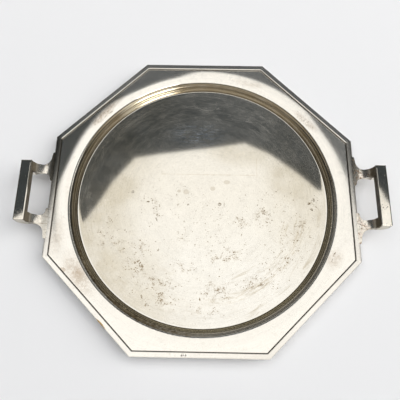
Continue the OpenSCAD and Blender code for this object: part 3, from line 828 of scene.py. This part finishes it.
def handle_material():
    t = Tree("silver_plate_handle")
    p = t.pos
    cloud = t.noise(p, 40.0, 4.0, 0.6)
    fine = t.noise(p, 300.0, 4.0, 0.65)
    right = t.ramp(t.x, -10.0, 10.0)
    arm = t.mul(t.ramp(t.ax, GX0 - 0.2, GX0 - 0.8), t.ramp(t.ax, AP - 1.5, AP + 1.0, 0.6, 1.0))
    colour = t.mix(t.ramp(cloud, 0.35, 0.7), SILVER, DULL)
    # rosy worn metal and copper stains on the right arms
    rosy = t.mul(arm, right, t.ramp(t.noise(p, 120.0, 3.0, 0.6), 0.38, 0.60))
    colour = t.mix(t.mul(rosy, 0.45), colour, (0.74, 0.60, 0.50))
    rust = t.mul(arm, t.add(0.25, t.m("MULTIPLY", right, 0.75)), t.ramp(t.noise(p, 260.0, 3.0, 0.7, 0.5), 0.55, 0.61))
    colour = t.mix(t.mul(rust, 0.9), colour, (0.24, 0.12, 0.04))
    # brown tarnish on the bars' inner faces and where the arms meet them
    inner = t.mul(t.band(t.ax, GX0 - 2.2, GX0 + 0.25, 1.8), t.ramp(t.z, RIM + 3.0, RIM + 7.0), t.ramp(t.z, GZ1 - 0.45, GZ1 - 1.0))
    inner = t.mul(inner, t.ramp(fine, 0.25, 0.7, 0.85, 1.0))
    colour = t.mix(inner, colour, (0.014, 0.009, 0.004))
    side = t.mul(t.ramp(t.m("ABSOLUTE", t.m("SUBTRACT", t.ay, HL)), 0.5, 0.1), t.ramp(t.z, GZ1 - 0.4, GZ1 - 1.0))
    colour = t.mix(t.mul(side, 0.5), colour, BROWN)
    # the bars' outer edges are darker
    rim = t.mul(t.ramp(t.ax, GX1 - 1.5, GX1 - 0.8), t.ramp(fine, 0.3, 0.6, 0.7, 1.0))
    colour = t.mix(t.mul(rim, 0.8), colour, (0.09, 0.075, 0.055))
    step = t.mul(t.ramp(t.ax, AP + 0.2, AP + 0.7), t.inv(t.ramp(t.ax, FOOT_X - 0.4, FOOT_X + 0.5)), t.ramp(t.ay, FOOT_IN + 4.0, FOOT_IN + 1.0))
    colour = t.mix(t.mul(step, 0.6), colour, BROWN)
    cell = t.cells(p, 420.0)
    pits = t.mul(t.ramp(cell.outputs["Distance"], 0.34, 0.16), t.ramp(t.noise(p, 70.0, 3.0, 0.6), 0.50, 0.60),
                 t.add(0.1, t.m("MULTIPLY", right, 0.9)))
    colour = t.mix(t.mul(pits, 0.85), colour, DARK)
    # painted shade: the arms darken towards the bars and, at the back, where they leave the border, more on the left
    shade = t.mul(t.ramp(t.ax, GX0 - 7.5, GX0 - 2.0), t.ramp(t.ax, GX0 + 0.3, GX0 - 0.2), 0.75)
    shade = t.m("MAXIMUM", shade, t.mul(t.ramp(t.ax, FOOT_X + 4.0, AP + 1.0), t.ramp(t.y, -15.0, 35.0), t.ramp(t.x, -20.0, 20.0, 0.88, 0.5)))
    colour = t.mix(shade, colour, (0.16, 0.135, 0.095))
    rough = t.add(0.035, t.m("MULTIPLY", cloud, 0.02), t.m("MULTIPLY", arm, 0.14), t.m("MULTIPLY", inner, 0.35),
                  t.m("MULTIPLY", pits, 0.3), t.m("MULTIPLY", rust, 0.2))
    height = t.add(t.m("MULTIPLY", fine, 0.1), t.m("MULTIPLY", pits, -1.0))
    amount = t.m("MINIMUM", t.add(0.014, t.m("MULTIPLY", arm, 0.056), t.m("MULTIPLY", inner, 1.1), t.m("MULTIPLY", rust, 0.3)), 1.0)
    return t.metal(colour, rough, height, 0.3, 0.0001, t.m("SUBTRACT", 1.0, amount))


# ---------------------------------------------------------------- put the tray together
pan_mat, border_mat, handle_mat = pan_material(), border_material(), handle_material()


def piece(name, bm, mat, node, smooth=True):
    o = new_object(name, bm, smooth)
    o.data.materials.append(mat)
    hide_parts(node)
    return o


pan = piece("pan_sheet", pan_mesh(), pan_mat, "tray_pan")
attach(pan, BODY)

sides = ["border_right", "border_back_right", "border_back", "border_back_left",
         "border_left", "border_front_left", "border_front", "border_front_right"]
for i, node in enumerate(sides):
    o = piece(node + "_moulding", border_mesh(i * math.pi / 4, i + 1), border_mat, node)
    o.data.set_sharp_from_angle(angle=math.radians(35))
    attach(o, BODY)

for sx, xn in ((1, "right"), (-1, "left")):
    for sy, yn in ((1, "back"), (-1, "front")):
        node = f"arm_{xn}_{yn}"
        o = piece(node + "_casting", arm_mesh(sx, sy), handle_mat, node)
        modify(o, "edges", "BEVEL", width=0.0007, segments=3, limit_method="ANGLE", angle_limit=math.radians(40),
               harden_normals=False)
        o.data.set_sharp_from_angle(angle=math.radians(60))
        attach(o, BODY)
    node = f"grip_{xn}"
    o = piece(node + "_bar", grip_mesh(sx), handle_mat, node, smooth=True)
    modify(o, "edges", "BEVEL", width=0.00022, segments=2, limit_method="ANGLE", angle_limit=math.radians(18),
           harden_normals=True)
    o.data.set_sharp_from_angle(angle=math.radians(15))
    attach(o, BODY)


# ---------------------------------------------------------------- floor, light and camera
def emission(name, colour, strength):
    mat = bpy.data.materials.new(name)
    mat.use_nodes = True
    nt = mat.node_tree
    nt.nodes.clear()
    out = nt.nodes.new("ShaderNodeOutputMaterial")
    e = nt.nodes.new("ShaderNodeEmission")
    e.inputs[0].default_value = (*colour, 1)
    e.inputs[1].default_value = strength
    nt.links.new(e.outputs[0], out.inputs[0])
    return mat


def card(name, corners, colour, strength):
    """A flat bright panel, unseen by the camera itself."""
    mesh = bpy.data.meshes.new(name)
    mesh.from_pydata([Vector(c) for c in corners], [], [list(range(len(corners)))])
    o = bpy.data.objects.new(name, mesh)
    bpy.context.scene.collection.objects.link(o)
    mesh.materials.append(emission(name, colour, strength))
    o.visible_camera = False
    return o


def floor():
    bpy.ops.mesh.primitive_plane_add(size=26, location=(0, 0, -0.0003))
    o = bpy.context.object
    o.name = "floor"
    mat = bpy.data.materials.new("pale_floor")
    mat.use_nodes = True
    b = mat.node_tree.nodes["Principled BSDF"]
    b.inputs["Base Color"].default_value = (0.875, 0.875, 0.88, 1)
    b.inputs["Roughness"].default_value = 0.7
    b.inputs["Specular IOR Level"].default_value = 0.15
    o.data.materials.append(mat)


floor()

H = 1.5
far_edge = [(-1.60, 0.30), (-0.845, 0.385), (-0.79, 0.425), (-0.76, 0.40), (-0.62, 0.375), (-0.549, 0.390), (-0.486, 0.497), (-0.437, 0.588), (-0.336, 0.712),
            (-0.218, 0.735), (-0.074, 0.759), (0.07, 0.777), (0.191, 0.795), (0.310, 0.739), (0.426, 0.653),
            (0.529, 0.564), (0.66, 0.545), (0.775, 0.565), (0.788, 0.553), (0.798, 0.531), (0.808, 0.514), (0.826, 0.492), (0.86, 0.47), (1.60, 0.46)]
near_edge = [(1.60, -2.2), (-1.60, -2.2)]
overhead = card("overhead_card", [(x, y, H) for x, y in far_edge + near_edge], (1.0, 0.985, 0.955), 1.0)
nt = overhead.data.materials[0].node_tree
where = nt.nodes.new("ShaderNodeTexCoord")
part = nt.nodes.new("ShaderNodeSeparateXYZ")
fall = nt.nodes.new("ShaderNodeMapRange")
fall.interpolation_type = "SMOOTHSTEP"
for key, v in (("From Min", 0.80), ("From Max", 0.05), ("To Min", 1.03), ("To Max", 1.09)):
    fall.inputs[key].default_value = v
nt.links.new(where.outputs["Object"], part.inputs[0])
nt.links.new(part.outputs[1], fall.inputs["Value"])
nt.links.new(fall.outputs["Result"], nt.nodes["Emission"].inputs[1])
overhead.visible_diffuse = False

world = bpy.data.worlds.new("studio")
bpy.context.scene.world = world
world.use_nodes = True
wt = world.node_tree
bg = wt.nodes["Background"]
direction = wt.nodes.new("ShaderNodeTexCoord")
split = wt.nodes.new("ShaderNodeSeparateXYZ")
wt.links.new(direction.outputs["Generated"], split.inputs[0])


def wmath(op, a, b=None):
    n = wt.nodes.new("ShaderNodeMath")
    n.operation = op
    for k, v in enumerate((a, b)):
        if isinstance(v, bpy.types.NodeSocket):
            wt.links.new(v, n.inputs[k])
        elif v is not None:
            n.inputs[k].default_value = v
    return n.outputs[0]


# pale near the horizon, dark above it; the pale band reaches higher in front
lift = wmath("MULTIPLY", wmath("MAXIMUM", wmath("MULTIPLY", split.outputs[1], -1.0), 0.0), 0.40)
height = wmath("SUBTRACT", split.outputs[2], lift)
ramp = wt.nodes.new("ShaderNodeValToRGB")
wt.links.new(height, ramp.inputs[0])
ramp.color_ramp.interpolation = "EASE"
cr = ramp.color_ramp.elements
cr[0].position, cr[0].color = 0.05, (0.60, 0.585, 0.55, 1)
cr[1].position, cr[1].color = 0.62, (0.046, 0.053, 0.058, 1)
e = cr.new(0.22)
e.color = (0.28, 0.275, 0.26, 1)
e = cr.new(0.42)
e.color = (0.09, 0.098, 0.104, 1)
wt.links.new(ramp.outputs[0], bg.inputs[0])
bg.inputs[1].default_value = 1.0


def backdrop():
    """A pale wall far off on every side, there only for the camera."""
    bpy.ops.mesh.primitive_cylinder_add(vertices=96, radius=12, depth=16, end_fill_type="NOTHING", location=(0, 0, 7))
    o = bpy.context.object
    o.name = "backdrop"
    o.data.materials.append(emission("backdrop", (0.99, 0.99, 1.0), 0.84))
    for p in o.data.polygons:
        p.use_smooth = True
    o.visible_glossy = o.visible_diffuse = o.visible_shadow = o.visible_transmission = False


backdrop()
world.cycles_visibility.diffuse = False


def area(name, loc, target, size, power, colour=(1, 1, 1), glossy=True):
    data = bpy.data.lights.new(name, "AREA")
    data.shape = "RECTANGLE"
    data.size, data.size_y = size
    data.energy = power
    data.color = colour
    o = bpy.data.objects.new(name, data)
    o.location = loc
    o.rotation_euler = (Vector(target) - Vector(loc)).to_track_quat("-Z", "Y").to_euler()
    o.visible_glossy = glossy
    o.visible_camera = False
    bpy.context.scene.collection.objects.link(o)
    return o


# a low window card in front on the right, which the back left of the well's wall mirrors
window = area("window", (0.99, -1.73, 0.85), (0, 0, 0), (0.88, 0.9), 15.5, (1, 0.98, 0.93))
window.visible_diffuse = False


def soft_sun(name, toward, energy, angle, colour):
    data = bpy.data.lights.new(name, "SUN")
    data.energy = energy
    data.angle = math.radians(angle)
    data.color = colour
    o = bpy.data.objects.new(name, data)
    o.rotation_euler = (-Vector(toward)).to_track_quat("-Z", "Y").to_euler()
    o.visible_glossy = False
    bpy.context.scene.collection.objects.link(o)
    return o


# soft daylight for the floor, straight down and from the right; the metal does not mirror it
soft_sun("sky", (0.0, 0.0, 1.0), 2.35, 85, (0.985, 0.99, 1.0))
soft_sun("side", (1.0, 0.10, 0.72), 2.10, 50, (1.0, 0.995, 0.985))

cam = bpy.data.cameras.new("camera")
cam_o = bpy.data.objects.new("camera", cam)
bpy.context.scene.collection.objects.link(cam_o)
cam_o.location = (0.003743, -0.189214, 0.565246)
cam_o.rotation_euler = (math.radians(18.59), math.radians(0.31632), math.radians(1.10542))
cam.sensor_fit = "HORIZONTAL"
cam.sensor_width = 36
cam.lens = 468.904 / 400 * 36
cam.clip_start = 0.01
bpy.context.scene.camera = cam_o
bpy.context.scene.view_settings.view_transform = "Standard"
